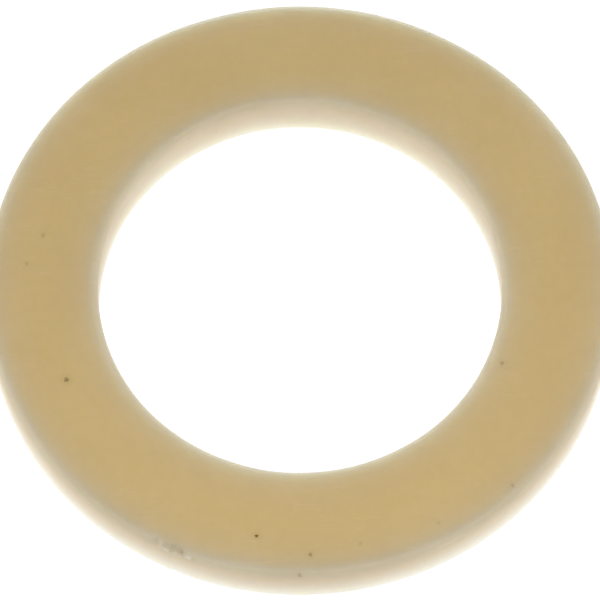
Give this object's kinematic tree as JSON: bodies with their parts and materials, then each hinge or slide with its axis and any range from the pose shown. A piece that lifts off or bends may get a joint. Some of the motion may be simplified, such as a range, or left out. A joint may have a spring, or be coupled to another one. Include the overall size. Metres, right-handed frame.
{
  "type": "flat washer",
  "caption": "Plain flat ring washer moulded in ivory nylon, with softly rounded edges, that seals and spreads the load under a bolt head or a nut.",
  "frame": {"origin": "on the washer's axis, in the plane of its lower face", "axes": "+Z along the axis, up through the bore; X and Y lie in the lower face, and the ring is the same all round"},
  "size_m": [0.0222, 0.0222, 0.0022],
  "materials": {
    "nylon": "satin"
  },
  "bodies": {
    "root": {"washer": "nylon"}
  },
  "joints": []
}
